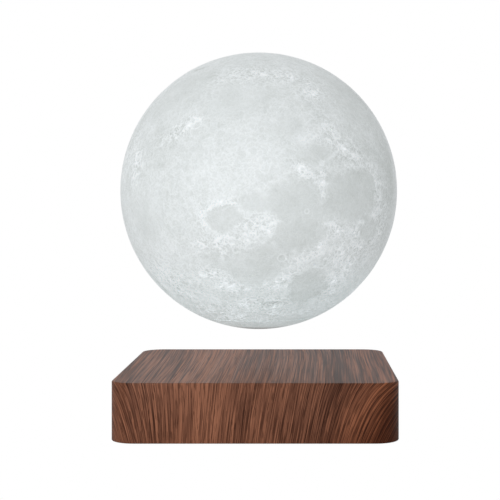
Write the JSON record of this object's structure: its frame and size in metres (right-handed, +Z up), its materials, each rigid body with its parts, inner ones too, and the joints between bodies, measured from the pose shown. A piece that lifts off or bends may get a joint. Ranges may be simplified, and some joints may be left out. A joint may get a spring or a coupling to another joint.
{
  "type": "levitating moon lamp",
  "caption": "Lamp whose round cratered moon floats over a square walnut base on magnets; the moon turns freely and bobs, and lights up without a wire.",
  "frame": {"origin": "on the table, under the middle of the base", "axes": "+Z up through the middle of the base and of the moon, -Y towards the front of the picture, +X to its right; the power socket is at +Y"},
  "size_m": [0.1524, 0.1524, 0.2032],
  "materials": {
    "walnut": "oiled, satin",
    "black_plastic": "fine moulded texture",
    "rubber": "matte",
    "steel": "zinc plated",
    "circuit_board": "solder mask",
    "coil_plastic": "moulded",
    "copper": "enamelled copper wire",
    "iron": "soft iron",
    "magnet": "nickel plated",
    "chip": "moulded epoxy",
    "can": "drawn can",
    "moon": "printed, translucent, matte",
    "light_board": "white solder mask on aluminium",
    "light": "phosphor under a clear dome",
    "brass": "turned"
  },
  "bodies": {
    "base": {"walnut_casing": "walnut", "bottom_cover": "black_plastic", "foot_front_left": "rubber", "foot_front_right": "rubber", "foot_back_left": "rubber", "foot_back_right": "rubber", "cover_screw_front_left": "steel", "cover_screw_front_right": "steel", "cover_screw_back_left": "steel", "cover_screw_back_right": "steel", "main_board": "circuit_board", "coil_bobbin_right": "coil_plastic", "coil_bobbin_back": "coil_plastic", "coil_bobbin_left": "coil_plastic", "coil_bobbin_front": "coil_plastic", "coil_winding_right": "copper", "coil_winding_back": "copper", "coil_winding_left": "copper", "coil_winding_front": "copper", "coil_core_right": "iron", "coil_core_back": "iron", "coil_core_left": "iron", "coil_core_front": "iron", "magnet_carrier": "black_plastic", "base_magnet_1": "magnet", "base_magnet_2": "magnet", "base_magnet_3": "magnet", "base_magnet_4": "magnet", "base_magnet_5": "magnet", "base_magnet_6": "magnet", "base_magnet_7": "magnet", "base_magnet_8": "magnet", "power_coil_former": "black_plastic", "power_coil": "copper", "sensor_post": "coil_plastic", "position_sensor_right": "chip", "position_sensor_back": "chip", "position_sensor_left": "chip", "power_socket": "black_plastic", "power_socket_pin": "steel", "capacitor_left": "can", "capacitor_right": "can", "inductor": "chip", "touch_plate": "copper", "touch_spring": "steel"},
    "floating_magnet": {"moon_magnet": "magnet"},
    "moon": {"moon_shell": "moon", "moon_cap": "moon", "receiving_coil": "copper", "receiver_board": "circuit_board", "receiver_capacitor_back": "can", "receiver_capacitor_front": "can", "light_standoff_1": "brass", "light_standoff_2": "brass", "light_standoff_3": "brass", "light_board": "light_board", "light": "light", "light_lead_front": "copper", "light_lead_back": "copper"}
  },
  "joints": [
    {"name": "moon_float", "type": "slide", "parent": "base", "child": "floating_magnet", "axis": [0, 0, 1], "range_m": [-0.0195, 0.06], "stiffness_N_per_m": 300, "springref_m": 0.01075},
    {"name": "moon_spin", "type": "hinge", "parent": "floating_magnet", "child": "moon", "pos_m": [0, 0, 0.127], "axis": [0, 0, 1], "continuous": true}
  ]
}
